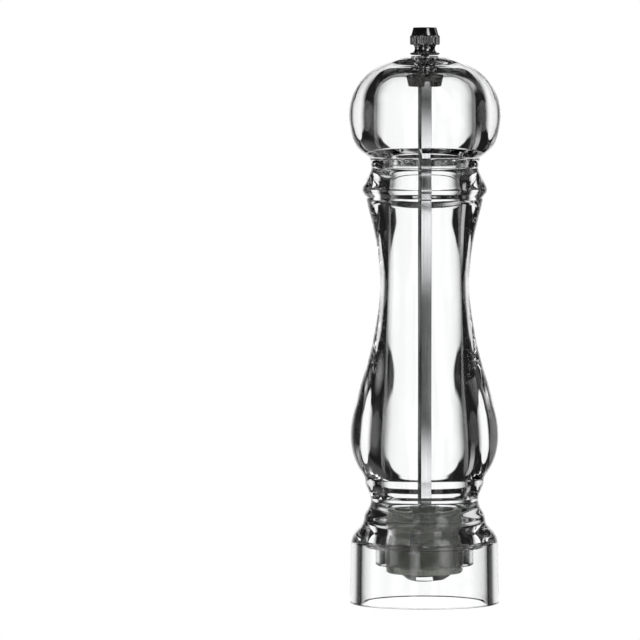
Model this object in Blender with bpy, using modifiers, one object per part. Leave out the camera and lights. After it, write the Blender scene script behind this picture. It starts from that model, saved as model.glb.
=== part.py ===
"""Clear acrylic pepper mill, 250 mm tall, standing on z = 0 with its axis on Z.

The head is turned by hand and drives a square spindle through a bush. A conical
burr on the spindle's lower end turns inside a fixed burr ring, and the nut on top
pulls the spindle up against a spring to grind finer.
"""

from math import cos, pi, radians, sin

import bmesh
import bpy
from mathutils import Vector

MM = 0.001  # every dimension below is in millimetres

HEIGHT = 250.0
BASE_R = 32.5  # outside of the skirt at the table
SKIRT_INNER_R = 27.4
SKIRT_CEILING_Z = 26.7
BORE_R = 15.9  # pepper chamber, from the waist up
POCKET_R = 17.3  # seat of the grinding mechanism, below the chamber
POCKET_TOP_Z = 46.1
BRIDGE_TOP_Z = 38.0
BODY_TOP_Z = 193.5
LEDGE_R = 18.2  # recess that takes the head's spigot
LEDGE_Z = 189.0
GAP = 0.3  # clearance between neighbouring pieces

HEAD_BOTTOM_Z = 193.8
HEAD_TOP_Z = 237.1
CAVITY_R = 22.2
CAVITY_BOTTOM_Z = 199.7
CAVITY_TOP_Z = 229.0
CAVITY_DOME_R = 13.0  # round between the cavity's wall and its small flat ceiling
CROWN_HOLE_R = 3.7  # the square bar passes through it

SHAFT = 4.76  # square bar, across its flats
SHAFT_TURN = radians(17)  # how far its faces are turned from the front
SQUARE_HOLE = 5.3
STUD_R = 2.0

DRUM_R = 16.7
DRUM_BOTTOM_Z = 13.1
DRUM_TOP_Z = 35.3

BURR_LOW = (11.4, 13.1)  # radius and height of the cone's wide lower edge
BURR_HIGH = (7.0, 26.0)
BURR_GAP = 0.8

SCREW_CIRCLE_R = 23.3
SCREW_COUNT = 3

BODY_STEPS = 32
PART_STEPS = 24
RIM_STEPS = 32


def clear_scene():
    for obj in list(bpy.data.objects):
        bpy.data.objects.remove(obj, do_unlink=True)


def new_collection(name, helper=False):
    made = bpy.data.collections.new(name)
    bpy.context.scene.collection.children.link(made)
    made.hide_render = helper
    return made


clear_scene()
MILL = new_collection("pepper_mill")
CUTTERS = new_collection("pepper_mill_cutters", helper=True)


def material(name, colour, roughness, metallic=0.0, transmission=0.0):
    made = bpy.data.materials.new(name)
    made.use_nodes = True
    shader = made.node_tree.nodes["Principled BSDF"]
    shader.inputs["Base Color"].default_value = (*colour, 1.0)
    shader.inputs["Roughness"].default_value = roughness
    shader.inputs["Metallic"].default_value = metallic
    shader.inputs["Transmission Weight"].default_value = transmission
    shader.inputs["IOR"].default_value = 1.49
    return made


def place(name, mesh, look, helper=False):
    obj = bpy.data.objects.new(name, mesh)
    (CUTTERS if helper else MILL).objects.link(obj)
    if helper:
        obj.hide_render = True
        obj.display_type = "WIRE"
    if look:
        mesh.materials.append(look)
    return obj


# Outlines: lists of (radius, height) in millimetres.


def arc(centre, radius, start, end, count=5):
    """Points round a centre from one angle to another, in degrees from +radius."""
    angles = [radians(start + (end - start) * i / count) for i in range(count + 1)]
    return [(centre[0] + radius * cos(a), centre[1] + radius * sin(a)) for a in angles]


def flowing(points, each=2):
    """A smooth curve through the points, with the given steps between neighbours."""
    ends = [points[0], *points, points[-1]]
    found = []
    for i in range(1, len(ends) - 2):
        p0, p1, p2, p3 = (Vector(p) for p in ends[i - 1 : i + 3])
        for k in range(each):
            t = k / each
            bend = 2 * p1 + (p2 - p0) * t
            bend += (2 * p0 - 5 * p1 + 4 * p2 - p3) * t**2
            bend += (3 * p1 - p0 - 3 * p2 + p3) * t**3
            found.append(tuple(bend / 2))
    return found + [points[-1]]


def turned(name, outline, look, steps=PART_STEPS, helper=False):
    """A piece turned about Z. An outline that leaves the axis on both ends is a ring."""
    mesh = bpy.data.meshes.new(name)
    corners = [(r * MM, 0.0, z * MM) for r, z in outline]
    edges = [(i, i + 1) for i in range(len(corners) - 1)]
    if outline[0][0] > 0:
        edges.append((len(corners) - 1, 0))
    mesh.from_pydata(corners, edges, [])
    obj = place(name, mesh, look, helper)
    screw = obj.modifiers.new("Turned", "SCREW")
    screw.axis = "Z"
    screw.angle = 2 * pi
    screw.steps = steps
    screw.render_steps = steps
    screw.use_merge_vertices = True
    screw.merge_threshold = 0.00001
    screw.use_smooth_shade = True
    return obj


# Cross-sections: functions of the angle about Z that give a radius.


def circle(radius):
    return lambda angle: radius


def polygon(across, sides, turn=0.0):
    """A regular polygon of the given width across flats, with a corner at turn."""
    half = pi / sides

    def radius(angle):
        offset = (angle - turn) % (2 * half)
        return across / 2 / cos(offset - half)

    return radius


def toothed(tip, depth, teeth, lead=0.0):
    """Saw teeth: each rises from its root to its tip and falls sharply."""

    def radius(angle):
        phase = ((angle - lead) * teeth / (2 * pi)) % 1.0
        return tip - depth * (1.0 - phase)

    return radius


def ridged(crest, depth, count):
    def radius(angle):
        return crest - depth * (0.5 - 0.5 * cos(count * angle))

    return radius


def lofted(name, rings, look, samples, turn=0.0, hollow=False, helper=False):
    """A skin over cross-sections, each a (function, height). A hollow one runs up the
    outside and down the inside, and its last ring meets its first."""
    mesh = bpy.data.meshes.new(name)
    shape = bmesh.new()
    loops = []
    for radius, z in rings:
        loop = []
        for k in range(samples):
            angle = 2 * pi * k / samples
            r = radius(angle) * MM
            at = (r * cos(angle + turn), r * sin(angle + turn), z * MM)
            loop.append(shape.verts.new(at))
        loops.append(loop)
    pairs = list(zip(loops, loops[1:]))
    if hollow:
        pairs.append((loops[-1], loops[0]))
    else:
        shape.faces.new(list(reversed(loops[0])))
        shape.faces.new(loops[-1])
    for low, high in pairs:
        for k in range(samples):
            n = (k + 1) % samples
            shape.faces.new((low[k], low[n], high[n], high[k]))
    bmesh.ops.recalc_face_normals(shape, faces=shape.faces)
    shape.to_mesh(mesh)
    shape.free()
    mesh.shade_smooth()
    mesh.set_sharp_from_angle(angle=radians(32))
    return place(name, mesh, look, helper)


def block(name, size, centre, turn=0.0, look=None, helper=True):
    """A box of the given size in millimetres, turned about Z round the mill's axis."""
    mesh = bpy.data.meshes.new(name)
    shape = bmesh.new()
    bmesh.ops.create_cube(shape, size=1.0)
    for vert in shape.verts:
        vert.co = Vector([(c * s + m) * MM for c, s, m in zip(vert.co, size, centre)])
    shape.to_mesh(mesh)
    shape.free()
    obj = place(name, mesh, look, helper)
    obj.rotation_euler.z = turn
    return obj


def joined(obj, other, operation="DIFFERENCE"):
    change = obj.modifiers.new(f"{operation} {other.name}", "BOOLEAN")
    change.operation = operation
    change.solver = "EXACT"
    change.object = other


def screw_angles():
    return [SHAFT_TURN + 2 * pi * k / SCREW_COUNT for k in range(SCREW_COUNT)]


def screw_place(angle):
    return SCREW_CIRCLE_R * MM * cos(angle), SCREW_CIRCLE_R * MM * sin(angle), 0.0


# Body and head


def body_outside():
    """From the rim under the head down to the table."""
    bead = [(23.9, BODY_TOP_Z), (23.25, 189.6), (24.1, 186.3), (26.1, 182.8)]
    bead += [(27.0, 179.7), (26.0, 177.2), (24.95, 176.1)]
    waist = [(25.3, 175.3), (23.4, 168.0), (20.4, 152.7), (19.35, 138.4)]
    waist += [(20.6, 124.9), (24.0, 107.8), (28.3, 93.7), (31.3, 81.6), (32.2, 73.0)]
    waist += [(31.0, 64.6), (28.1, 58.2), (26.1, 54.9), (25.6, 51.6), (24.1, 48.3)]
    waist += [(23.4, 45.2), (24.1, 41.9), (26.0, 38.5), (26.7, 35.0), (29.8, 31.3)]
    waist += [(31.4, 28.6), (32.0, 25.8)]
    foot = arc((BASE_R - 0.8, 0.8), 0.8, 0, -90, 2)
    return flowing(bead) + flowing(waist) + foot


def body_inside():
    """From the table up the skirt, the mechanism's pocket and the chamber."""
    skirt = [(SKIRT_INNER_R + 0.5, 0.0), (SKIRT_INNER_R, 0.5)]
    ceiling = arc((SKIRT_INNER_R - 1.7, SKIRT_CEILING_Z - 1.5), 1.5, 0, 90, 3)
    pocket = [(POCKET_R, SKIRT_CEILING_Z), (POCKET_R, POCKET_TOP_Z)]
    chamber = [(18.6, 47.6), (18.7, 53.5), (18.9, 61.0), (19.1, 67.0), (18.8, 75.0)]
    chamber += [(18.0, 90.0), (17.3, 105.0), (16.7, 119.0), (BORE_R, 138.0), (BORE_R, LEDGE_Z)]
    recess = [(LEDGE_R, LEDGE_Z), (LEDGE_R, BODY_TOP_Z)]
    return skirt + ceiling + pocket + chamber + recess


def build_body(look):
    body = turned("body_shell", body_outside() + body_inside(), look, BODY_STEPS)
    for k, angle in enumerate(screw_angles()):
        hole = [(0.0, 32.0), (1.3, 32.0), (1.3, 20.0), (0.0, 20.0)]
        cutter = turned(f"cut_body_hole_{k + 1}", hole, None, 12, helper=True)
        cutter.location = screw_place(angle)
        joined(body, cutter)


def head_outside():
    crown = [(6.6, HEAD_TOP_Z), (10.4, 236.7), (15.7, 235.0), (21.2, 232.4)]
    crown += [(25.7, 229.0), (29.8, 223.8), (32.2, 217.8), (32.9, 212.0)]
    crown += [(32.2, 205.6), (30.4, 199.9), (27.2, 196.0), (24.0, HEAD_BOTTOM_Z)]
    return flowing(crown)


def head_inside():
    foot = (CAVITY_R - 0.5, CAVITY_BOTTOM_Z + 0.5)
    dome = (CAVITY_R - CAVITY_DOME_R, CAVITY_TOP_Z - CAVITY_DOME_R)
    spigot = [(LEDGE_R - GAP, HEAD_BOTTOM_Z), (LEDGE_R - GAP, LEDGE_Z + GAP)]
    neck = [(BORE_R, LEDGE_Z + GAP), (BORE_R, CAVITY_BOTTOM_Z)]
    bulb = arc(foot, 0.5, -90, 0, 2) + arc(dome, CAVITY_DOME_R, 0, 90, 8)
    return spigot + neck + bulb + [(CROWN_HOLE_R, CAVITY_TOP_Z), (CROWN_HOLE_R, HEAD_TOP_Z)]


def build_head(look):
    turned("head_dome", head_outside() + head_inside(), look, BODY_STEPS)


def build_drive_bush(look):
    """A tapered bush under the crown, with a square bore that drives the spindle and a
    notch across its lower end that shows the spindle's flat."""
    low, top = 222.2, CAVITY_TOP_Z - GAP
    hole = polygon(SQUARE_HOLE, 4, pi / 4)
    rings = [(circle(6.7), low), (circle(7.25), low + 0.7), (circle(8.2), top - 1.0)]
    rings += [(circle(8.2), top), (hole, top), (hole, low)]
    bush = lofted("drive_bush", rings, look, PART_STEPS, SHAFT_TURN, hollow=True)
    joined(bush, block("cut_notch", (5.2, 20.0, 3.4), (0.3, 0, 223.1), SHAFT_TURN))


def build_nut(look):
    """Knurled thumb nut: a beaded lower flange, a hollow neck, a straight-knurled band
    and a plain cone that ends in a flat top."""
    crest, flange, band, tip = 6.46, 238.5, (242.4, 246.4), HEIGHT
    rings = [(circle(5.6), 238.0), (ridged(6.25, 0.2, 30), 238.15)]
    rings += [(ridged(crest, 0.3, 30), flange), (ridged(6.2, 0.2, 30), 238.95)]
    rings += [(circle(r), z) for r, z in arc((6.35, 240.75), 1.9, 238, 122, 3)]
    rings += [(ridged(6.1, 0.1, 30), band[0]), (ridged(crest, 0.4, 30), band[0] + 0.35)]
    rings += [(ridged(crest, 0.4, 30), band[1] - 0.35), (circle(6.0), band[1])]
    rings += [(circle(5.1), tip - 0.25), (circle(4.75), tip)]
    nut = lofted("adjusting_nut", rings, look, 60)
    bore = [(0.0, 247.9), (2.3, 247.9), (2.3, 236.0), (0.0, 236.0)]
    joined(nut, turned("cut_thread", bore, None, 16, helper=True))


def build_nut_washer(look):
    outline = [(5.9, 237.7), (5.9, 237.4), (2.4, 237.4), (2.4, 237.7)]
    turned("nut_washer", outline, look, 24)


# Spindle


def build_spindle(look):
    """Square bar with a threaded round stud on top and a clip groove near its foot."""
    bar = polygon(SHAFT, 4, pi / 4)
    rings = [(circle(1.7), 13.1), (circle(2.1), 13.4), (circle(2.1), 13.75)]
    rings += [(circle(1.6), 13.75), (circle(1.6), 14.75), (circle(2.1), 14.75)]
    rings += [(circle(2.1), 15.1), (bar, 15.4), (bar, 234.4), (circle(2.1), 235.0)]
    rings += [(circle(STUD_R), 235.2), (circle(STUD_R), 245.9), (circle(1.6), 246.4)]
    lofted("spindle", rings, look, 16, SHAFT_TURN)


def build_shaft_clip(look):
    """Retaining clip with its mouth to one side, in the spindle's groove."""
    shape = bmesh.new()
    mesh = bpy.data.meshes.new("shaft_clip")
    sweep = [radians(35 + 290 * i / 14) for i in range(15)]
    rim = [(4.2 * cos(a), 4.2 * sin(a)) for a in sweep]
    rim += [(1.95 * cos(a), 1.95 * sin(a)) for a in reversed(sweep)]
    foot = shape.faces.new([shape.verts.new((x * MM, y * MM, 13.95 * MM)) for x, y in rim])
    grown = bmesh.ops.extrude_face_region(shape, geom=[foot])
    lifted = [v for v in grown["geom"] if isinstance(v, bmesh.types.BMVert)]
    bmesh.ops.translate(shape, vec=(0, 0, 0.6 * MM), verts=lifted)
    bmesh.ops.recalc_face_normals(shape, faces=shape.faces)
    shape.to_mesh(mesh)
    shape.free()
    obj = place("shaft_clip", mesh, look)
    obj.rotation_euler.z = SHAFT_TURN


def square_washer(name, outer, low, thick, look):
    hole = polygon(SQUARE_HOLE, 4, pi / 4)
    rings = [(circle(outer), low), (circle(outer), low + thick), (hole, low + thick), (hole, low)]
    lofted(name, rings, look, PART_STEPS, SHAFT_TURN, hollow=True)


# Grinding mechanism


def burr_radius(z):
    (r0, z0), (r1, z1) = BURR_LOW, BURR_HIGH
    return r0 + (r1 - r0) * (z - z0) / (z1 - z0)


def build_mount_ring(look):
    """Clear stepped collar that carries the mechanism under the skirt's ceiling."""
    top, step, low = SKIRT_CEILING_Z - GAP, 24.2, 16.7
    inner = DRUM_R + GAP
    outline = arc((24.4, top - 1.0), 1.0, 90, 0, 2) + arc((24.2, step + 1.2), 1.2, 0, -90, 2)
    outline += [(21.3, step), (21.3, low + 0.5), (20.8, low), (inner, low), (inner, top)]
    ring = turned("mount_ring", outline, look, RIM_STEPS)
    for k, angle in enumerate(screw_angles()):
        hole = [(0.0, 32.0), (1.3, 32.0), (1.3, 20.0), (0.0, 20.0)]
        cutter = turned(f"cut_ring_hole_{k + 1}", hole, None, 12, helper=True)
        cutter.location = screw_place(angle)
        joined(ring, cutter)


def build_mount_screws(look):
    """Small pan-head screws up through the collar's flange into the body."""
    under = 23.9
    outline = [(0.0, 31.0), (0.9, 30.3), (0.9, under), (1.75, under), (1.85, 23.3)]
    outline += [(1.2, 22.7), (0.0, 22.6)]
    for k, angle in enumerate(screw_angles()):
        screw = turned(f"mount_screw_{k + 1}", outline, look, 12)
        screw.location = screw_place(angle)
        slot = block(f"cut_slot_{k + 1}", (5.0, 0.6, 1.0), (0, 0, 22.7), angle + pi / 2)
        slot.location = screw_place(angle)
        joined(screw, slot)


def build_housing(look):
    """Drum round the burrs, with a lip below that carries the burr ring."""
    inner, lip, shelf = 15.0, 13.4, 15.6
    outline = [(DRUM_R - 0.4, DRUM_TOP_Z), (DRUM_R, DRUM_TOP_Z - 0.4)]
    outline += arc((DRUM_R - 1.4, DRUM_BOTTOM_Z + 1.4), 1.4, 0, -90, 4)
    outline += [(lip, DRUM_BOTTOM_Z), (lip, shelf), (inner, shelf), (inner, DRUM_TOP_Z)]
    turned("mech_housing", outline, look, RIM_STEPS)


def build_bridge(look):
    """Spider over the burrs: a ring, three arms and the hub that guides the spindle."""
    low, high = DRUM_TOP_Z + GAP, BRIDGE_TOP_Z
    ring = [(16.9, high), (16.9, low), (13.4, low), (13.4, high)]
    hub = [(6.0, 41.0), (6.4, 40.6), (6.4, low), (5.0, low), (5.0, 41.0)]
    bridge = turned("bridge", ring, look, RIM_STEPS)
    joined(bridge, turned("join_hub", hub, None, PART_STEPS, helper=True), "UNION")
    for k in range(3):
        angle = SHAFT_TURN + pi / 6 + 2 * pi * k / 3
        arm = block(f"join_arm_{k + 1}", (9.6, 2.6, 2.0), (10.2, 0, low + 1.2), angle)
        joined(bridge, arm, "UNION")


def build_lower_bush(look):
    """Square-bored bush that turns with the spindle inside the bridge's hub."""
    hole = polygon(SQUARE_HOLE, 4, pi / 4)
    rings = [(circle(5.6), 34.3), (circle(5.6), 35.3), (circle(4.7), 35.3)]
    rings += [(circle(4.7), 41.0), (circle(4.5), 41.3), (hole, 41.3), (hole, 34.3)]
    lofted("lower_bush", rings, look, PART_STEPS, SHAFT_TURN, hollow=True)


def build_spring(look):
    """Compression spring between the thrust washer and the seat on the burr."""
    mean, wire, low, high, turns = 4.75, 0.4, 27.75, 32.55, 4.5
    count = int(turns * 14)
    curve = bpy.data.curves.new("spring", "CURVE")
    curve.dimensions = "3D"
    curve.bevel_depth = wire * MM
    curve.bevel_resolution = 1
    curve.use_fill_caps = True
    line = curve.splines.new("POLY")
    line.points.add(count)
    for i, point in enumerate(line.points):
        share = i / count
        rise = min(max((share * turns - 0.8) / (turns - 1.6), 0.0), 1.0)
        closing = min(share * turns, 0.8) + max(share * turns - turns + 0.8, 0.0)
        angle = 2 * pi * turns * share
        z = low + 1.18 * closing + (high - low - 1.89) * rise
        point.co = (mean * cos(angle) * MM, mean * sin(angle) * MM, z * MM, 1.0)
    obj = bpy.data.objects.new("spring", curve)
    curve.materials.append(look)
    MILL.objects.link(obj)


def build_rotor(look):
    """Conical burr with slanting teeth and a six-sided bore for its hub."""
    hole = polygon(9.2, 6)
    rings = []
    for share in (0.0, 0.18, 0.45, 0.72, 1.0):
        z = BURR_LOW[1] + share * (BURR_HIGH[1] - BURR_LOW[1])
        depth = 0.5 + 0.6 * share
        rings.append((toothed(burr_radius(z), depth, 12, radians(40) * share), z))
    rings += [(hole, BURR_HIGH[1]), (hole, 15.2), (circle(7.6), 15.2), (circle(7.6), BURR_LOW[1])]
    lofted("rotor", rings, look, 60, SHAFT_TURN, hollow=True)


def build_rotor_hub(look):
    """Six-sided plastic core that carries the burr on the square bar."""
    outer, hole = polygon(8.6, 6), polygon(SQUARE_HOLE, 4, pi / 4)
    rings = [(outer, 14.95), (outer, 25.9), (hole, 25.9), (hole, 14.95)]
    lofted("rotor_hub", rings, look, 48, SHAFT_TURN, hollow=True)


def build_rotor_cap(look):
    """Three-lobed foot under the burr: hollow below, with a slot through its front wall
    and a notch in its back wall."""

    def lobed(scale):
        return lambda a: scale * (8.8 + 2.9 * (0.5 + 0.5 * cos(3 * a)) ** 1.5)

    rings = [(lobed(0.74), 9.9), (lobed(0.96), 11.5), (lobed(1.0), 11.9), (lobed(1.0), 12.8)]
    rings += [(circle(7.3), 12.8), (circle(7.3), 14.8), (circle(5.0), 14.8), (circle(5.0), 12.5)]
    cap = lofted("rotor_cap", rings, look, 48, SHAFT_TURN)
    hollow = [(0.0, 12.1), (5.4, 12.1), (5.4, 8.0), (0.0, 8.0)]
    joined(cap, turned("cut_cap_hollow", hollow, None, 24, helper=True))
    joined(cap, block("cut_cap_slot", (7.3, 20.0, 2.0), (0, -10.0, 11.1)))
    joined(cap, block("cut_cap_notch", (7.3, 20.0, 4.2), (0, 10.0, 10.0)))


def build_stator(look):
    """Fixed burr ring: a toothed throat parallel to the cone, wider at its mouth."""
    outer = 14.7
    throat = [(z, burr_radius(z) + BURR_GAP) for z in (15.9, 20.5)]

    def cut(radius, depth, lead):
        return lambda a: radius + depth * (((a - lead) * 24 / (2 * pi)) % 1.0)

    rings = [(circle(outer), 15.9), (circle(outer), 27.5), (circle(13.6), 27.5)]
    rings += [(cut(12.0, 1.0, 0.5), 24.6), (cut(throat[1][1], 0.9, 0.25), throat[1][0])]
    rings += [(cut(throat[0][1], 0.5, 0.0), throat[0][0])]
    lofted("stator", rings, look, 72, hollow=True)


def main():
    acrylic = material("clear_acrylic", (0.95, 0.97, 0.97), 0.03, transmission=1.0)
    smoky = material("smoky_plastic", (0.12, 0.13, 0.125), 0.3)
    dark = material("dark_plastic", (0.045, 0.045, 0.05), 0.35)
    ceramic = material("ceramic", (0.62, 0.63, 0.58), 0.5)
    steel = material("steel", (0.56, 0.56, 0.57), 0.3, metallic=1.0)
    chrome = material("dark_chrome", (0.42, 0.42, 0.43), 0.12, metallic=1.0)

    build_body(acrylic)
    build_head(acrylic)
    build_drive_bush(smoky)
    build_nut(chrome)
    build_nut_washer(steel)
    build_spindle(steel)
    build_shaft_clip(steel)
    build_mount_ring(acrylic)
    build_mount_screws(steel)
    build_housing(smoky)
    build_bridge(smoky)
    build_lower_bush(smoky)
    square_washer("thrust_washer", 5.6, 33.3, 0.7, steel)
    square_washer("spring_seat", 6.0, 26.35, 0.65, steel)
    build_spring(steel)
    build_rotor(ceramic)
    build_rotor_hub(smoky)
    build_rotor_cap(dark)
    build_stator(ceramic)


main()
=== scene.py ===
"""Looks of the clear acrylic pepper mill: finely turned clear pieces, brushed and
knurled metal, smoky plastic and ceramic burrs, in a white bright-field studio.

Outlines are lists of (radius, height) in millimetres; cross-sections are functions of
the angle about Z that give a radius.
"""

from math import cos, pi, radians, sin

import bmesh
import bpy
import numpy as np
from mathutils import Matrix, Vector


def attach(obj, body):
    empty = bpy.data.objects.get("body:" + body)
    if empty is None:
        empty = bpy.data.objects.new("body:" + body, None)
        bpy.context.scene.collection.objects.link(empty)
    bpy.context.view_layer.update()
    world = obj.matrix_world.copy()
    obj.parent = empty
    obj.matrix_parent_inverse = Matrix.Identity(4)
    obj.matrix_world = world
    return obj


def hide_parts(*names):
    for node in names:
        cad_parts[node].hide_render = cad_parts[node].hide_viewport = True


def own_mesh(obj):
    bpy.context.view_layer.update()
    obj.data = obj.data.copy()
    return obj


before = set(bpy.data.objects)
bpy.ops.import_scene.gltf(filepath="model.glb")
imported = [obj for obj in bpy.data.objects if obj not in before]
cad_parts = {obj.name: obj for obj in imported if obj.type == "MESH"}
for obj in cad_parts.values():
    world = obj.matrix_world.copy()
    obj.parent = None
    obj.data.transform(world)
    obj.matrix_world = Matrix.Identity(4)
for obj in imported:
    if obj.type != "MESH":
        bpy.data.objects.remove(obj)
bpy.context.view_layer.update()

MM = 0.001
TURNS = 192  # steps round the large clear pieces
CURVE_STEP = 0.35  # mm between points along a flowing outline
CHAMBER_STEP = 1.2
CRISP = 32  # degrees: edges that bend more than this stay sharp

BORE_R = 15.9  # pepper chamber, from the waist up, and the head's spigot
POCKET_R = 17.3  # seat of the grinding mechanism, below the chamber
POCKET_TOP_Z = 46.1
SKIRT_CEILING_Z = 26.7
BODY_TOP_Z = 193.5
LEDGE_R = 18.2  # recess that takes the head's spigot
LEDGE_Z = 189.0

HEAD_BOTTOM_Z = 193.8
HEAD_TOP_Z = 237.1
CAVITY_R = 22.2
CAVITY_BOTTOM_Z = 199.7
CAVITY_TOP_Z = 229.0
CAVITY_DOME_R = 13.0
CROWN_HOLE_R = 3.7  # the square bar passes through it

RING_TOP_Z = 26.4

SHAFT = 4.76  # square bar, across its flats
SHAFT_TURN = radians(17)  # how far its faces are turned from the front
SQUARE_HOLE = 5.3
STUD_R = 2.0
STUD_PITCH = 0.7
THREAD_STEP = 0.1  # mm between the rings of a thread

NUT_RIDGES = 36
NUT_CREST_R = 6.46
NUT_TOP_Z = 250.0
BUSH_RIBS = 22

GUIDE_R = 4.7  # the bush that turns in the bridge's hub
BRIDGE_LOW_Z = 35.6
BRIDGE_TOP_Z = 38.0
HUB_TOP_Z = 41.0
ARM_COUNT = 3

DRUM_R = 16.7
DRUM_BOTTOM_Z = 13.1
DRUM_TOP_Z = 35.3

BURR_LOW_R = 11.4  # the cone's wide lower edge
BURR_LOW_Z = 13.1
BURR_RISE = 12.9
BURR_TAPER = 4.4
BURR_GAP = 0.8
BURR_TEETH = 24
HEX_SEAT = 9.2  # six-sided seat of the burr's core, across its flats

SCREW_CIRCLE_R = 23.3
SCREW_COUNT = 3
SCREW_PITCH = 0.9

FLOOR_R = 600.0
BEHIND = 90  # compass heading, in degrees from +X, of the backdrop behind the mill
CAMERA_LENS = 363.4
CAMERA_DISTANCE = 2.8  # metres, as are the camera's other places
CAMERA_HEIGHT = 0.255
CAMERA_SIDE = -0.0454  # the mill stands to the right of the middle
AIM_HEIGHT = 0.1231
CLEAR_BOUNCES = 32


# Outlines


def arc(centre, radius, start, end, count=6):
    """Points round a centre from one angle to another, in degrees from +radius."""
    angles = [radians(start + (end - start) * i / count) for i in range(count + 1)]
    return [(centre[0] + radius * cos(a), centre[1] + radius * sin(a)) for a in angles]


def flowing(points, step=CURVE_STEP):
    """A curve through the points whose slope and bend both change smoothly."""
    at = np.array(points, float)
    gaps = np.linalg.norm(np.diff(at, axis=0), axis=1) ** 0.7
    knots = np.concatenate([[0.0], np.cumsum(gaps)])
    count = len(at)
    rows = np.zeros((count, count))
    sides = np.zeros((count, 2))
    rows[0, 0] = rows[-1, -1] = 1.0
    for i in range(1, count - 1):
        rows[i, i - 1 : i + 2] = gaps[i - 1], 2 * (gaps[i - 1] + gaps[i]), gaps[i]
        sides[i] = 6 * ((at[i + 1] - at[i]) / gaps[i] - (at[i] - at[i - 1]) / gaps[i - 1])
    bends = np.linalg.solve(rows, sides)
    found = []
    for i in range(count - 1):
        length = np.linalg.norm(at[i + 1] - at[i])
        parts = max(2, int(round(length / step)))
        for k in range(parts):
            a = (knots[i + 1] - knots[i]) * (1 - k / parts)
            b = gaps[i] - a
            point = bends[i] * a**3 / (6 * gaps[i]) + bends[i + 1] * b**3 / (6 * gaps[i])
            point += (at[i] / gaps[i] - bends[i] * gaps[i] / 6) * a
            point += (at[i + 1] / gaps[i] - bends[i + 1] * gaps[i] / 6) * b
            found.append(tuple(point))
    return found + [tuple(at[-1])]


def softened(corners, size=0.25, count=3):
    """The closed outline through the corners, with each corner rounded by a small curve."""
    found = []
    for i, here in enumerate(corners):
        before, after = Vector(corners[i - 1]), Vector(corners[(i + 1) % len(corners)])
        here = Vector(here)
        reach = min(size, (before - here).length * 0.45, (after - here).length * 0.45)
        start = here + (before - here).normalized() * reach
        end = here + (after - here).normalized() * reach
        for k in range(count + 1):
            t = k / count
            found.append(tuple(start * (1 - t) ** 2 + here * 2 * t * (1 - t) + end * t**2))
    return found


# Cross-sections


def circle(radius):
    return lambda angle: radius


def polygon(across, sides, turn=0.0, corner=1.0):
    """A regular polygon; corner below 1 takes that share off its sharp corners."""
    half = pi / sides

    def radius(angle):
        offset = (angle - turn) % (2 * half) - half
        return min(across / 2 / cos(offset), corner * across / 2 / cos(half))

    return radius


def ridged(crest, depth, count):
    """Straight knurling: narrow flutes between wider rounded lands."""

    def radius(angle):
        wave = 0.5 - 0.5 * cos(count * angle)
        return crest - depth * wave**1.6

    return radius


# Mesh builders


def shaded(mesh, sharp=CRISP):
    """Smooth all over, apart from the edges that bend by more than the given angle."""
    mesh.shade_smooth()
    mesh.set_sharp_from_angle(angle=radians(sharp))
    return mesh


def placed(name, data):
    obj = bpy.data.objects.new(name, data)
    bpy.context.scene.collection.objects.link(obj)
    return obj


def finish_mesh(name, verts, faces, sharp=CRISP):
    """A new object with these faces, all turned outwards."""
    mesh = bpy.data.meshes.new(name)
    mesh.from_pydata(verts, [], faces)
    shape = bmesh.new()
    shape.from_mesh(mesh)
    bmesh.ops.recalc_face_normals(shape, faces=shape.faces)
    shape.to_mesh(mesh)
    shape.free()
    return placed(name, shaded(mesh, sharp))


def skin(name, rings, samples, turn=0.0, hollow=False, sharp=CRISP):
    """A skin over cross-sections, each a (function, height), taken at evenly spaced angles
    or at a given list of them. A hollow one closes on itself; a solid one gets flat ends."""
    given = isinstance(samples, list)
    angles = samples if given else [2 * pi * k / samples for k in range(samples)]
    samples = len(angles)
    verts = []
    for radius, z in rings:
        for a in angles:
            r = radius(a) * MM
            verts.append((r * cos(a + turn), r * sin(a + turn), z * MM))
    count = len(rings)
    faces = []
    for i in range(count if hollow else count - 1):
        low, high = i * samples, (i + 1) % count * samples
        for k in range(samples):
            n = (k + 1) % samples
            faces.append((low + k, low + n, high + n, high + k))
    if not hollow:
        faces.append(tuple(reversed(range(samples))))
        faces.append(tuple(range((count - 1) * samples, count * samples)))
    return finish_mesh(name, verts, faces, sharp)


def turned(name, outline, samples=96, sharp=CRISP):
    """A piece turned about Z from a closed outline that stays off the axis."""
    return skin(name, [(circle(r), z) for r, z in outline], samples, 0.0, True, sharp)


def turned_solid(name, outline, samples=64, sharp=CRISP):
    """A piece turned about Z whose outline runs from bottom to top, with flat ends."""
    return skin(name, [(circle(r), z) for r, z in outline], samples, 0.0, False, sharp)


def box(name, size, centre, turn=0.0, round_off=0.0):
    """A box placed by its centre and then turned about Z, with its edges rounded if asked."""
    shape = bmesh.new()
    bmesh.ops.create_cube(shape, size=1.0)
    for vert in shape.verts:
        vert.co = Vector([(c * s + m) * MM for c, s, m in zip(vert.co, size, centre)])
    if round_off:
        edges = list(shape.edges)
        bmesh.ops.bevel(shape, geom=edges, offset=round_off * MM, segments=3, affect="EDGES")
    mesh = bpy.data.meshes.new(name)
    shape.to_mesh(mesh)
    shape.free()
    obj = placed(name, shaded(mesh))
    obj.rotation_euler.z = turn
    return obj


def combined(obj, others, operation):
    """Joins or cuts the others, and leaves one plain mesh."""
    for other in others:
        change = obj.modifiers.new("combine", "BOOLEAN")
        change.operation = operation
        change.solver = "EXACT"
        change.object = other
    bpy.context.view_layer.update()
    graph = bpy.context.evaluated_depsgraph_get()
    mesh = bpy.data.meshes.new_from_object(obj.evaluated_get(graph), depsgraph=graph)
    obj.modifiers.clear()
    obj.data = shaded(mesh)
    for other in others:
        bpy.data.objects.remove(other, do_unlink=True)
    return obj


# Materials


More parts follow.
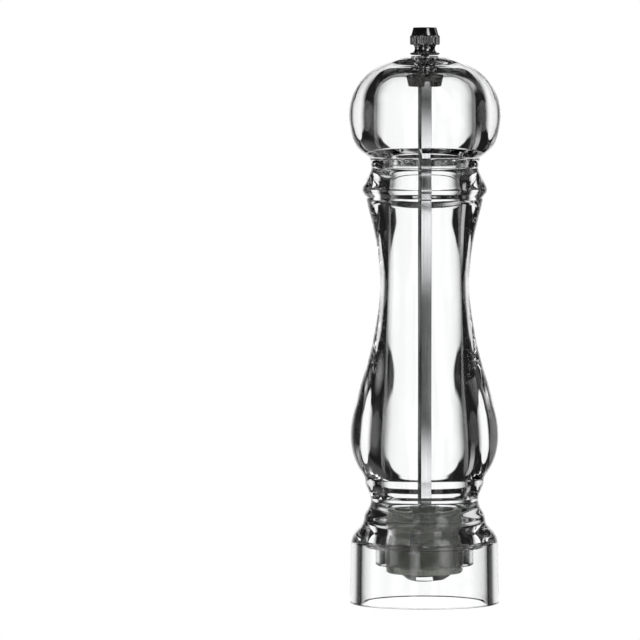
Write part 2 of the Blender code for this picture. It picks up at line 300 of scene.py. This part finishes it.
class Look:
    """A Principled material and short ways to wire nodes into it."""

    def __init__(self, name, colour, roughness, metallic=0.0, **sockets):
        self.material = bpy.data.materials.new(name)
        self.material.use_nodes = True
        self.tree = self.material.node_tree
        self.shader = self.tree.nodes["Principled BSDF"]
        self.set("Base Color", (*colour, 1.0))
        self.set("Roughness", roughness)
        self.set("Metallic", metallic)
        for socket, value in sockets.items():
            self.set(socket.replace("_", " "), value)
        place = self.tree.nodes.new("ShaderNodeTexCoord")
        self.place = place.outputs["Object"]

    def set(self, socket, value):
        self.shader.inputs[socket].default_value = value

    def noise(self, scale, stretch=(1, 1, 1), detail=3.0, rough=0.55):
        mapping = self.tree.nodes.new("ShaderNodeMapping")
        mapping.inputs["Scale"].default_value = stretch
        self.tree.links.new(self.place, mapping.inputs["Vector"])
        made = self.tree.nodes.new("ShaderNodeTexNoise")
        made.inputs["Scale"].default_value = scale
        made.inputs["Detail"].default_value = detail
        made.inputs["Roughness"].default_value = rough
        self.tree.links.new(mapping.outputs[0], made.inputs["Vector"])
        return made.outputs["Fac"]

    def ranged(self, value, low, high, to_low, to_high):
        made = self.tree.nodes.new("ShaderNodeMapRange")
        ends = {"From Min": low, "From Max": high, "To Min": to_low, "To Max": to_high}
        for name, number in ends.items():
            made.inputs[name].default_value = number
        self.tree.links.new(value, made.inputs["Value"])
        return made.outputs["Result"]

    def shades(self, value, first, second, low=0.35, high=0.65):
        made = self.tree.nodes.new("ShaderNodeValToRGB")
        made.color_ramp.elements[0].position = low
        made.color_ramp.elements[1].position = high
        made.color_ramp.elements[0].color = (*first, 1.0)
        made.color_ramp.elements[1].color = (*second, 1.0)
        self.tree.links.new(value, made.inputs["Fac"])
        return made.outputs["Color"]

    def bump(self, value, distance, strength=1.0):
        made = self.tree.nodes.new("ShaderNodeBump")
        made.inputs["Distance"].default_value = distance
        made.inputs["Strength"].default_value = strength
        self.tree.links.new(value, made.inputs["Height"])
        self.link(made.outputs["Normal"], "Normal")

    def link(self, output, socket):
        self.tree.links.new(output, self.shader.inputs[socket])


def acrylic():
    look = Look("clear acrylic", (0.992, 0.996, 0.995), 0.0, Transmission_Weight=1.0, IOR=1.49)
    ripple = look.noise(38.0, (1, 1, 0.45), 2.0)
    look.bump(ripple, 0.00006, 0.35)
    return look.material


def smoky_plastic(name, low, high):
    look = Look(name, high, 0.06, Transmission_Weight=0.8, IOR=1.5)
    cloud = look.noise(160.0, (1, 1, 0.3), 4.0)
    look.link(look.shades(cloud, low, high), "Base Color")
    look.link(look.ranged(cloud, 0.3, 0.7, 0.04, 0.12), "Roughness")
    look.bump(look.noise(500.0), 0.00002, 0.3)
    return look.material


def dark_plastic():
    look = Look("dark plastic", (0.05, 0.05, 0.055), 0.35)
    grain = look.noise(700.0)
    look.link(look.shades(grain, (0.035, 0.035, 0.04), (0.075, 0.075, 0.08)), "Base Color")
    look.link(look.ranged(grain, 0.3, 0.7, 0.28, 0.45), "Roughness")
    look.bump(grain, 0.00003, 0.5)
    return look.material


def ceramic():
    look = Look("ceramic", (0.66, 0.67, 0.61), 0.55, Specular_IOR_Level=0.4)
    grain = look.noise(450.0, detail=6.0)
    look.link(look.shades(grain, (0.55, 0.56, 0.50), (0.76, 0.77, 0.71)), "Base Color")
    look.bump(grain, 0.00008, 0.6)
    return look.material


def drawn_steel():
    look = Look("drawn steel", (0.6, 0.6, 0.61), 0.28, 1.0)
    lines = look.noise(900.0, (1, 1, 0.015), 4.0, 0.7)
    look.link(look.shades(lines, (0.56, 0.56, 0.57), (0.68, 0.68, 0.69)), "Base Color")
    look.link(look.ranged(lines, 0.3, 0.7, 0.14, 0.22), "Roughness")
    look.bump(lines, 0.00001, 0.08)
    return look.material


def pressed_steel():
    look = Look("pressed steel", (0.58, 0.58, 0.6), 0.25, 1.0)
    marks = look.noise(400.0, detail=5.0)
    look.link(look.ranged(marks, 0.3, 0.7, 0.16, 0.36), "Roughness")
    look.bump(marks, 0.00002, 0.4)
    return look.material


def dark_chrome():
    look = Look("dark chrome", (0.42, 0.415, 0.42), 0.14, 1.0)
    wear = look.noise(350.0, detail=5.0)
    look.link(look.shades(wear, (0.34, 0.335, 0.34), (0.5, 0.495, 0.5)), "Base Color")
    look.link(look.ranged(wear, 0.3, 0.7, 0.09, 0.22), "Roughness")
    look.bump(wear, 0.00001, 0.5)
    return look.material


# Clear pieces


def body_outline():
    """From the rim down the outside to the foot, then up through the inside."""
    bead = [(23.95, BODY_TOP_Z - 0.2), (23.65, 191.6), (23.17, 189.2), (24.05, 186.4), (25.9, 182.9)]
    bead += [(27.03, 179.9), (26.6, 178.2), (25.5, 176.8), (24.95, 176.1)]
    waist = [(25.3, 175.4), (24.5, 171.7), (22.3, 163.1), (20.4, 152.7), (19.5, 143.5)]
    waist += [(19.35, 137.5), (19.9, 130.0), (21.45, 119.7), (23.6, 109.3), (26.6, 98.9)]
    waist += [(29.7, 88.5), (31.5, 80.5), (32.2, 73.0), (31.0, 64.6), (28.1, 58.2)]
    waist += [(26.05, 54.7), (25.65, 52.2), (24.3, 48.7), (23.4, 45.2), (24.2, 41.7)]
    waist += [(26.0, 38.5), (26.8, 34.9), (29.8, 31.3), (31.5, 28.3), (32.0, 25.8)]
    foot = [(32.4, 3.0)] + arc((31.9, 0.6), 0.6, 0, -90)
    skirt = [(27.9, 0.0), (27.5, 0.4)]
    ceiling = arc((25.7, SKIRT_CEILING_Z - 1.5), 1.5, 0, 90)
    pocket = [(POCKET_R, SKIRT_CEILING_Z), (POCKET_R, POCKET_TOP_Z), (18.6, POCKET_TOP_Z + 1.5)]
    chamber = [(18.62, 48.0), (18.7, 53.5), (18.8, 57.0), (18.9, 61.0), (19.1, 67.0), (18.8, 75.0)]
    chamber = flowing(chamber + [(18.0, 90.0), (16.7, 119.0), (BORE_R, 138.0)], CHAMBER_STEP)
    recess = [(BORE_R, LEDGE_Z - 0.3), (BORE_R + 0.3, LEDGE_Z), (LEDGE_R, LEDGE_Z)]
    recess += [(LEDGE_R, BODY_TOP_Z - 0.2), (LEDGE_R + 0.2, BODY_TOP_Z), (23.7, BODY_TOP_Z)]
    return flowing(bead) + flowing(waist) + foot + skirt + ceiling + pocket + chamber + recess


def head_outline():
    """From the crown down the outside to the spigot, then up through the hollow bulb."""
    crown = [(6.6, HEAD_TOP_Z), (10.4, 236.7), (15.7, 235.0), (21.2, 232.4), (25.7, 229.0)]
    crown += [(29.8, 223.8), (32.2, 217.8), (32.9, 212.0), (32.2, 205.6), (30.4, 199.9)]
    crown += [(27.2, 196.0), (24.0, HEAD_BOTTOM_Z)]
    spigot_r, spigot_z = LEDGE_R - 0.3, LEDGE_Z + 0.3
    spigot = [(spigot_r, HEAD_BOTTOM_Z), (spigot_r, spigot_z + 0.2), (spigot_r - 0.2, spigot_z)]
    spigot += [(BORE_R, spigot_z), (BORE_R, CAVITY_BOTTOM_Z - 0.3)]
    bulb = arc((BORE_R + 0.3, CAVITY_BOTTOM_Z - 0.3), 0.3, 180, 90, 3)
    bulb += arc((CAVITY_R - 0.5, CAVITY_BOTTOM_Z + 0.5), 0.5, -90, 0)
    bulb += arc((CAVITY_R - CAVITY_DOME_R, CAVITY_TOP_Z - CAVITY_DOME_R), CAVITY_DOME_R, 0, 90, 30)
    hole = [(CROWN_HOLE_R, CAVITY_TOP_Z), (CROWN_HOLE_R, HEAD_TOP_Z - 0.2)]
    return flowing(crown) + spigot + bulb + hole + [(CROWN_HOLE_R + 0.2, HEAD_TOP_Z)]


def ring_outline():
    """The collar: a rounded flange above a narrower step that holds the drum."""
    rim_z = RING_TOP_Z - 1.0
    flange = arc((24.4, rim_z), 1.0, 90, 0, 4) + arc((24.2, rim_z), 1.2, 0, -90, 5)
    step = [(21.5, 24.2), (21.3, 24.0), (21.3, 17.2), (20.8, 16.7), (17.0, 16.7), (17.0, RING_TOP_Z)]
    return flange + step


# Metal and plastic pieces


def nut():
    """A rounded knurled flange, a hollow neck, a knurled grip and a coned top."""

    def knurl(crest, depth):
        return ridged(crest, depth, NUT_RIDGES)

    rings = [(circle(5.6), 237.98)]
    for k in range(9):
        lift = cos(pi * (k / 8 - 0.5))
        rings.append((knurl(5.75 + 0.71 * lift, 0.05 + 0.35 * lift), 238.0 + 1.05 * k / 8))
    rings += [(circle(r), z) for r, z in arc((6.5, 240.75), 2.05, 235, 125, 12)]
    rings += [(circle(5.9), 242.38), (knurl(6.2, 0.1), 242.42), (knurl(NUT_CREST_R, 0.34), 242.75)]
    rings += [(knurl(NUT_CREST_R, 0.42), z) for z in (243.4, 245.5)]
    rings += [(knurl(NUT_CREST_R, 0.34), 246.1), (knurl(6.25, 0.1), 246.42), (circle(6.0), 246.55)]
    top = [(5.15, NUT_TOP_Z - 0.4), (4.95, NUT_TOP_Z - 0.1), (4.6, NUT_TOP_Z), (2.0, NUT_TOP_Z)]
    rings += [(circle(r), z) for r, z in top]
    obj = skin("nut_knurled", rings, NUT_RIDGES * 8, sharp=40)
    return combined(obj, [turned_solid("bore", [(2.3, 236.0), (2.3, 247.9)], 48)], "DIFFERENCE")


def spindle():
    """The square bar, turned down with a groove for the clip, and its threaded stud."""
    bar = polygon(SHAFT, 4, pi / 4)
    angles = [radians(90 * k + turn) for k in range(4) for turn in (-43.2, -29, -14, 0, 14, 29, 43.2)]
    rings = [(circle(1.5), 13.1), (circle(2.1), 13.5), (circle(2.1), 13.75), (circle(1.6), 13.76)]
    rings += [(circle(1.6), 14.74), (circle(2.1), 14.75), (circle(2.1), 15.1), (bar, 15.4)]
    rings += [(bar, 15.5), (bar, 234.3), (bar, 234.4), (circle(2.1), 234.8)]
    first, last = 235.3, 245.6

    def thread(z):
        fade = min((z - first) / 0.5, (last - z) / 0.5, 1.0)

        def radius(angle):
            phase = (z / STUD_PITCH - angle / (2 * pi)) % 1.0
            return STUD_R - 0.32 * fade * (1.0 - abs(2 * phase - 1.0))

        return radius

    heights = [first + THREAD_STEP * k for k in range(104)]
    rings += [(thread(z), z) for z in heights]
    rings += [(circle(STUD_R), 245.8), (circle(1.6), 246.4)]
    return skin("square_bar", rings, angles, SHAFT_TURN, sharp=28)


def square_hole():
    return polygon(SQUARE_HOLE, 4, pi / 4, 0.98)


def bush():
    """The tapered bush under the crown, notched across its foot, with ribs on its rim."""
    low, high = 222.2, 228.5
    outline = [(6.5, low), (6.95, low + 0.2), (7.25, 222.9), (7.9, 226.8), (8.1, 227.2)]
    outline += [(8.25, high - 0.2), (8.1, high), (8.0, high)]
    rings = [(circle(r), z) for r, z in outline] + [(square_hole(), z) for z in (high, low)]
    obj = skin("crown_bush", rings, 24 * 8, SHAFT_TURN, hollow=True)
    notch = box("notch", (5.2, 20.0, 3.4), (0.3, 0.0, 223.1), SHAFT_TURN, 0.3)
    obj = combined(obj, [notch], "DIFFERENCE")
    turns = [2 * pi * k / BUSH_RIBS for k in range(BUSH_RIBS)]
    ribs = [box("rib", (4.0, 1.1, 0.9), (6.1, 0.0, 228.65), turn) for turn in turns]
    return combined(obj, ribs, "UNION")


def sleeve(name, inner, outer, low, high, samples):
    """A plain ring with rounded edges."""
    corners = [(outer, low), (outer, high), (inner, high), (inner, low)]
    return turned(name, softened(corners), samples)


def bridge():
    """The spider over the burrs: a ring, three arms and a hub."""
    ring = sleeve("spider", 13.4, 16.9, BRIDGE_LOW_Z, BRIDGE_TOP_Z, 96)
    hub = sleeve("hub", 5.0, 6.4, BRIDGE_LOW_Z, HUB_TOP_Z, 64)
    arms = []
    for k in range(ARM_COUNT):
        angle = SHAFT_TURN + pi / 6 + 2 * pi * k / ARM_COUNT
        arms.append(box("arm", (10.4, 2.6, 2.0), (10.6, 0.0, 36.8), angle, 0.3))
    return combined(ring, [hub, *arms], "UNION")


def lower_bush():
    """The flanged bush that turns in the bridge's hub."""
    low, high = 34.3, HUB_TOP_Z + 0.3
    outline = [(5.3, low), (5.6, low + 0.2), (5.6, 35.1), (5.4, 35.3), (GUIDE_R, 35.35)]
    outline += [(GUIDE_R, HUB_TOP_Z), (GUIDE_R - 0.2, high)]
    rings = [(circle(r), z) for r, z in outline] + [(square_hole(), z) for z in (high, low)]
    return skin("guide_bush", rings, 64, SHAFT_TURN, hollow=True)


def star_washer():
    """A thin washer with radial teeth on its underside, on the crown under the nut."""
    inner, outer, base, teeth = 3.0, 5.9, HEAD_TOP_Z + 0.3, 24
    verts, faces = [], []
    samples = teeth * 4
    for k in range(samples):
        a = 2 * pi * k / samples
        depth = 0.22 * (k % 4 in (0, 1))
        for r, z in ((inner, base), (outer, base - depth), (outer, base + 0.15), (inner, base + 0.3)):
            verts.append((r * cos(a) * MM, r * sin(a) * MM, z * MM))
        n = (k + 1) % samples
        faces += [(4 * k + i, 4 * k + (i + 1) % 4, 4 * n + (i + 1) % 4, 4 * n + i) for i in range(4)]
    return finish_mesh("crown_washer", verts, faces)


def square_washer(name, outer, low, thick):
    high, edge = low + thick, 0.1
    outline = [(outer - edge, low), (outer, low + edge), (outer, high - edge), (outer - edge, high)]
    rings = [(circle(r), z) for r, z in outline] + [(square_hole(), z) for z in (high, low)]
    return skin(name, rings, 64, SHAFT_TURN, hollow=True)


def spring():
    """A coil whose first and last part turns lie closed."""
    mean, wire, low, high, turns, closed = 4.75, 0.4, 27.75, 32.55, 4.5, 0.8
    closed_rise = 1.18  # mm for each closed turn
    curve = bpy.data.curves.new("coil", "CURVE")
    curve.dimensions = "3D"
    curve.bevel_depth = wire * MM
    curve.bevel_resolution = 4
    curve.use_fill_caps = True
    line = curve.splines.new("POLY")
    count = int(turns * 40)
    line.points.add(count)
    for i, point in enumerate(line.points):
        done = turns * i / count
        rise = min(max((done - closed) / (turns - 2 * closed), 0.0), 1.0)
        ends = min(done, closed) + max(done - turns + closed, 0.0)
        angle = 2 * pi * done
        z = low + closed_rise * ends + (high - low - 1.89) * rise
        point.co = (mean * cos(angle) * MM, mean * sin(angle) * MM, z * MM, 1.0)
    line_object = placed("coil", curve)
    bpy.context.view_layer.update()
    graph = bpy.context.evaluated_depsgraph_get()
    mesh = bpy.data.meshes.new_from_object(line_object.evaluated_get(graph))
    bpy.data.objects.remove(line_object, do_unlink=True)
    mesh.shade_smooth()
    return placed("coil", mesh)


def burr_radius(z):
    return BURR_LOW_R - BURR_TAPER * (z - BURR_LOW_Z) / BURR_RISE


def rotor():
    """The cone: fine teeth round its foot, and half as many deep ones above them."""

    def teeth(z):
        share = (z - BURR_LOW_Z) / BURR_RISE
        tip, lead = burr_radius(z), radians(40) * share
        fine = share < 0.3
        count = BURR_TEETH if fine else BURR_TEETH // 2
        depth = (0.5 + 0.6 * share) * (0.6 if fine else 1.0)

        def radius(angle):
            phase = ((angle - lead) * count / (2 * pi)) % 1.0
            return tip - depth * (1.0 - phase)

        return radius

    top, seat_z = BURR_LOW_Z + BURR_RISE, 15.2
    heights = [BURR_LOW_Z + 0.2 + 12.4 * k / 24 for k in range(25)]
    rings = [(circle(10.9), BURR_LOW_Z)] + [(teeth(z), z) for z in heights] + [(circle(5.95), top)]
    rings += [(polygon(HEX_SEAT, 6), z) for z in (top, seat_z)]
    rings += [(circle(7.6), z) for z in (seat_z, BURR_LOW_Z)]
    return skin("burr_cone", rings, BURR_TEETH * 10, SHAFT_TURN, hollow=True, sharp=25)


def burr_core():
    low, high = 14.95, 25.9
    rings = [(polygon(HEX_SEAT - 0.6, 6, corner=0.97), z) for z in (low, high)]
    rings += [(square_hole(), z) for z in (high, low)]
    return skin("burr_core", rings, 96, SHAFT_TURN, True)


def stator():
    """The fixed ring: its mouth narrows to a throat, and from there it follows the cone."""

    def cut(radius, depth, lead):
        return lambda a: radius + depth * (((a - lead) * BURR_TEETH / (2 * pi)) % 1.0)

    outline = [(14.5, 15.9), (14.7, 16.1), (14.7, 27.3), (14.5, 27.5), (13.6, 27.5)]
    rings = [(circle(r), z) for r, z in outline]
    for k in range(9):
        share = k / 8
        mouth = cut(13.2 - 3.5 * share**0.7, 0.3 + 0.6 * share, 0.8 - 0.5 * share)
        rings.append((mouth, 27.0 - 6.5 * share))
    for k in range(1, 6):
        share = k / 5
        z = 20.5 - 4.6 * share
        rings.append((cut(burr_radius(z) + BURR_GAP, 0.9 - 0.4 * share, 0.3 - 0.3 * share), z))
    return skin("burr_ring", rings, BURR_TEETH * 8, hollow=True, sharp=25)


def rotor_cap():
    """A three-lobed hollow foot, with a slot at the front and a notch at the back."""

    def lobed(scale):
        return lambda a: scale * (8.8 + 2.9 * (0.5 + 0.5 * cos(3 * a)) ** 1.5)

    rings = [(lobed(0.70), 9.9), (lobed(0.76), 10.1), (lobed(0.96), 11.5), (lobed(1.0), 11.9)]
    rings += [(lobed(1.0), 12.6), (lobed(0.97), 12.8), (circle(7.3), 12.8), (circle(7.3), 14.7)]
    rings += [(circle(7.2), 14.8), (circle(5.0), 14.8), (circle(5.0), 12.5)]
    obj = skin("burr_foot", rings, 144, SHAFT_TURN)
    hollow = turned_solid("hollow", [(5.4, 8.0), (5.4, 12.1)])
    front = box("front_slot", (7.3, 20.0, 2.0), (0.0, -10.0, 11.1))
    back = box("back_notch", (7.3, 20.0, 4.2), (0.0, 10.0, 10.0))
    return combined(obj, [hollow, front, back], "DIFFERENCE")


def clip():
    """An open ring whose inner edge has three ears that grip the spindle's groove."""
    sweep = [radians(35 + 290 * i / 40) for i in range(41)]
    rim = [(4.2 * cos(a), 4.2 * sin(a)) for a in sweep]
    for a in reversed(sweep):
        inner = 1.95 + 0.4 * (1 - cos(3 * (a - pi)))
        rim.append((inner * cos(a), inner * sin(a)))
    count = len(rim)
    verts = [(x * MM, y * MM, z * MM) for z in (13.95, 14.55) for x, y in rim]
    faces = [tuple(reversed(range(count))), tuple(range(count, 2 * count))]
    faces += [(k, (k + 1) % count, (k + 1) % count + count, k + count) for k in range(count)]
    obj = finish_mesh("snap_clip", verts, faces)
    obj.rotation_euler.z = SHAFT_TURN
    return obj


def mount_screw(index):
    """A cross-headed screw, head down, driven up through the collar's flange."""
    head = [(0.9, 22.6), (1.45, 22.75), (1.8, 23.2), (1.85, 23.6), (1.75, 23.9), (0.95, 23.9)]
    first, last = 24.6, 30.2

    def thread(z):
        fade = max(min((z - first) / 0.5, (last - z) / 0.8, 1.0), 0.0)

        def radius(angle):
            phase = (z / SCREW_PITCH - angle / (2 * pi)) % 1.0
            return 0.72 + 0.32 * fade * (1 - 2 * abs(phase - 0.5)) ** 3

        return radius

    rings = [(circle(r), z) for r, z in head] + [(circle(0.9), first - 0.1)]
    heights = [first + THREAD_STEP * k for k in range(57)]
    rings += [(thread(z), z) for z in heights]
    rings += [(circle(0.2), 31.0)]
    obj = skin(f"collar_screw_{index}", rings, 32, sharp=40)
    angle = SHAFT_TURN + 2 * pi * (index - 1) / SCREW_COUNT
    cross = [box("cross", size, (0, 0, 22.8), angle) for size in ((2.2, 0.5, 0.9), (0.5, 2.2, 0.9))]
    obj = combined(obj, cross, "DIFFERENCE")
    obj.location = (SCREW_CIRCLE_R * MM * cos(angle), SCREW_CIRCLE_R * MM * sin(angle), 0.0)
    return obj


def drum_outline():
    wall = [(DRUM_R - 0.4, DRUM_TOP_Z), (DRUM_R, DRUM_TOP_Z - 0.4)]
    wall += arc((DRUM_R - 1.4, DRUM_BOTTOM_Z + 1.4), 1.4, 0, -90)
    lip = [(13.6, DRUM_BOTTOM_Z), (13.4, DRUM_BOTTOM_Z + 0.2), (13.4, 15.6), (15.0, 15.6)]
    return wall + lip + [(15.0, DRUM_TOP_Z - 0.2), (15.2, DRUM_TOP_Z)]


# The whole mill


def add(obj, node, body, look):
    """Gives a piece its look and ties it to the CAD piece that it takes the place of."""
    obj.data.materials.clear()
    obj.data.materials.append(look)
    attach(obj, body)
    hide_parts(node)


def build_mill():
    """Every piece, with its node, its body and its look."""
    clear, dark, fired = acrylic(), dark_plastic(), ceramic()
    smoky = smoky_plastic("smoky plastic", (0.42, 0.43, 0.40), (0.56, 0.57, 0.53))
    deep = smoky_plastic("deep smoky plastic", (0.17, 0.17, 0.165), (0.26, 0.26, 0.25))
    drawn, pressed, chrome = drawn_steel(), pressed_steel(), dark_chrome()
    add(turned("clear_body", body_outline(), TURNS, 30), "body_shell", "mill_body", clear)
    add(turned("clear_head", head_outline(), TURNS, 30), "head_dome", "head", clear)
    collar = turned("clear_collar", ring_outline(), TURNS, 30)
    add(collar, "mount_ring", "mill_body", clear)
    for k in range(1, SCREW_COUNT + 1):
        add(mount_screw(k), f"mount_screw_{k}", "mill_body", pressed)
    drum = turned("smoky_drum", drum_outline(), 144)
    add(drum, "mech_housing", "mill_body", smoky)
    add(stator(), "stator", "mill_body", fired)
    add(bridge(), "bridge", "mill_body", smoky)
    add(lower_bush(), "lower_bush", "drive", smoky)
    add(square_washer("thrust_plate", 5.6, 33.3, 0.7), "thrust_washer", "drive", pressed)
    add(square_washer("seat_plate", 6.0, 26.35, 0.65), "spring_seat", "spindle", pressed)
    coil = spring()
    add(coil, "spring", "spindle", drawn)
    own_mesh(coil)
    add(spindle(), "spindle", "spindle", drawn)
    add(clip(), "shaft_clip", "spindle", pressed)
    add(rotor(), "rotor", "spindle", fired)
    add(burr_core(), "rotor_hub", "spindle", smoky)
    add(rotor_cap(), "rotor_cap", "spindle", dark)
    add(bush(), "drive_bush", "head", deep)
    add(star_washer(), "nut_washer", "head", pressed)
    add(nut(), "adjusting_nut", "nut", chrome)


# Studio


class Surround:
    """A white studio with dark flags: brightness by direction, as lobes round compass
    headings, each in degrees from +X, with how wide it is fully bright and where it ends."""

    def __init__(self):
        world = bpy.data.worlds.new("studio")
        bpy.context.scene.world = world
        world.use_nodes = True
        self.tree = world.node_tree
        self.tree.nodes.clear()
        place = self.tree.nodes.new("ShaderNodeTexCoord")
        self.direction = place.outputs["Generated"]
        parts = self.node("ShaderNodeSeparateXYZ", self.direction)
        self.up = parts.outputs["Z"]
        flat = self.node("ShaderNodeCombineXYZ", parts.outputs["X"], parts.outputs["Y"])
        level = self.node("ShaderNodeVectorMath", flat.outputs[0])
        level.operation = "NORMALIZE"
        self.level = level.outputs["Vector"]
        self.total = None

    def node(self, kind, *inputs):
        made = self.tree.nodes.new(kind)
        for k, output in enumerate(inputs):
            self.tree.links.new(output, made.inputs[k])
        return made

    def step(self, value, start, end, gain=1.0):
        """Rises smoothly from 0 at the start value to the gain at the end value."""
        made = self.tree.nodes.new("ShaderNodeMapRange")
        made.interpolation_type = "SMOOTHSTEP"
        made.inputs["From Min"].default_value = start
        made.inputs["From Max"].default_value = end
        made.inputs["To Max"].default_value = gain
        self.tree.links.new(value, made.inputs["Value"])
        return made.outputs["Result"]

    def maths(self, operation, a, b):
        made = self.node("ShaderNodeMath", a, b)
        made.operation = operation
        return made.outputs[0]

    def along(self, vector, axis):
        made = self.node("ShaderNodeVectorMath", vector)
        made.operation = "DOT_PRODUCT"
        made.inputs[1].default_value = axis
        return made.outputs["Value"]

    def heading(self, heading, full, end, gain=1.0):
        """Bright round a compass heading: full up to one angle from it, gone by another."""
        facing = self.along(self.level, (cos(radians(heading)), sin(radians(heading)), 0.0))
        return self.step(facing, cos(radians(end)), cos(radians(full)), gain)

    def oval(self, heading, elevation, wide, high, soft=0.08, gain=1.0):
        """1 inside an ellipse round a direction, given by its half width and half height."""
        h, e = radians(heading), radians(elevation)
        ahead = (cos(h) * cos(e), sin(h) * cos(e), sin(e))
        right = (sin(h) / sin(radians(wide)), -cos(h) / sin(radians(wide)), 0.0)
        up = [c / sin(radians(high)) for c in (-cos(h) * sin(e), -sin(h) * sin(e), cos(e))]
        sideways, upwards, forwards = (self.along(self.direction, axis) for axis in (right, up, ahead))
        pair = self.node("ShaderNodeCombineXYZ", sideways, upwards)
        front = self.step(forwards, 0.0, 0.1)
        length = self.node("ShaderNodeVectorMath", pair.outputs[0])
        length.operation = "LENGTH"
        inside = self.step(length.outputs["Value"], 1 + soft, 1 - soft, gain)
        return self.maths("MULTIPLY", inside, front)

    def between(self, low, high, soft=4.0):
        """1 from the low to the high elevation in degrees, with soft ends."""
        rise = self.step(self.up, sin(radians(low - soft)), sin(radians(low + soft)))
        fall = self.step(self.up, sin(radians(high + soft)), sin(radians(high - soft)))
        return self.maths("MULTIPLY", rise, fall)

    def add(self, *factors):
        """One more lobe, the product of its factors; the brightest lobe shows."""
        value = factors[0]
        for factor in factors[1:]:
            value = self.maths("MULTIPLY", value, factor)
        self.total = value if self.total is None else self.maths("MAXIMUM", self.total, value)

    def finish(self, dark, plain, fill):
        """Plain to the eye; elsewhere the lobes over a dark floor value, with a soft fill
        for the light that matt surfaces gather."""
        rays = self.tree.nodes.new("ShaderNodeLightPath")
        scattered = self.step(rays.outputs["Diffuse Depth"], 0.4, 0.6, fill)
        base = self.maths("MAXIMUM", self.total, scattered)
        floor = self.tree.nodes.new("ShaderNodeMath")
        floor.operation = "MAXIMUM"
        floor.inputs[1].default_value = dark
        self.tree.links.new(base, floor.inputs[0])
        shaped = self.tree.nodes.new("ShaderNodeBackground")
        self.tree.links.new(floor.outputs[0], shaped.inputs["Color"])
        white = self.tree.nodes.new("ShaderNodeBackground")
        white.inputs["Color"].default_value = (plain, plain, plain, 1.0)
        mix = self.tree.nodes.new("ShaderNodeMixShader")
        self.tree.links.new(rays.outputs["Is Camera Ray"], mix.inputs["Fac"])
        self.tree.links.new(shaped.outputs[0], mix.inputs[1])
        self.tree.links.new(white.outputs[0], mix.inputs[2])
        out = self.tree.nodes.new("ShaderNodeOutputWorld")
        self.tree.links.new(mix.outputs[0], out.inputs["Surface"])


def build_surround():
    """A white backdrop behind the mill, with soft cards and narrow strips round it."""
    room = Surround()
    glow = room.heading(BEHIND, 9, 37, 1.12)
    room.add(glow, room.oval(BEHIND, -2, 25, 22.5, 0.04))
    room.add(glow, room.oval(BEHIND, -3, 42, 16))
    room.add(room.oval(180, -3, 13, 18, 0.4, 1.0))
    room.add(room.oval(138, -41, 23, 18, 0.35, 0.8))
    room.add(room.oval(-39, -15, 13, 16, 0.4, 0.9))
    room.add(room.heading(-56, 6, 13, 1.75), room.between(2, 50, 12))
    room.add(room.heading(-108, 3, 7, 1.3), room.between(-20, 26, 6))
    room.add(room.heading(34, 4, 10, 0.5), room.between(9, 50, 6))
    room.finish(dark=0.012, plain=1.0, fill=1.25)


def build_floor():
    """A round table top just under the mill's base."""
    floor = turned_solid("floor", [(FLOOR_R, -1.5), (FLOOR_R, -0.6)], 128)
    floor.data.materials.append(floor_look())


def build_camera():
    camera = placed("camera", bpy.data.cameras.new("camera"))
    camera.data.lens = CAMERA_LENS
    camera.data.sensor_width = 36.0
    camera.data.clip_start = 0.1
    camera.location = (CAMERA_SIDE, -CAMERA_DISTANCE, CAMERA_HEIGHT)
    aim = Vector((CAMERA_SIDE, 0.0, AIM_HEIGHT)) - camera.location
    camera.rotation_euler = aim.to_track_quat("-Z", "Y").to_euler()
    bpy.context.scene.camera = camera


def floor_look():
    """Plain white to the eye, and open to the light that the mill bends."""
    made = bpy.data.materials.new("white table")
    made.use_nodes = True
    tree = made.node_tree
    tree.nodes.clear()
    glow = tree.nodes.new("ShaderNodeEmission")
    clear = tree.nodes.new("ShaderNodeBsdfTransparent")
    rays = tree.nodes.new("ShaderNodeLightPath")
    mix = tree.nodes.new("ShaderNodeMixShader")
    out = tree.nodes.new("ShaderNodeOutputMaterial")
    tree.links.new(rays.outputs["Is Camera Ray"], mix.inputs["Fac"])
    tree.links.new(clear.outputs[0], mix.inputs[1])
    tree.links.new(glow.outputs[0], mix.inputs[2])
    tree.links.new(mix.outputs[0], out.inputs["Surface"])
    return made


def set_light_paths():
    """Enough bounces for light to cross all the nested clear walls."""
    scene = bpy.context.scene
    scene.view_settings.view_transform = "Standard"
    scene.view_settings.look = "None"
    scene.cycles.max_bounces = CLEAR_BOUNCES
    scene.cycles.transmission_bounces = CLEAR_BOUNCES
    scene.cycles.transparent_max_bounces = CLEAR_BOUNCES
    scene.cycles.glossy_bounces = 12
    scene.cycles.diffuse_bounces = 4


build_mill()
build_surround()
build_floor()
build_camera()
set_light_paths()
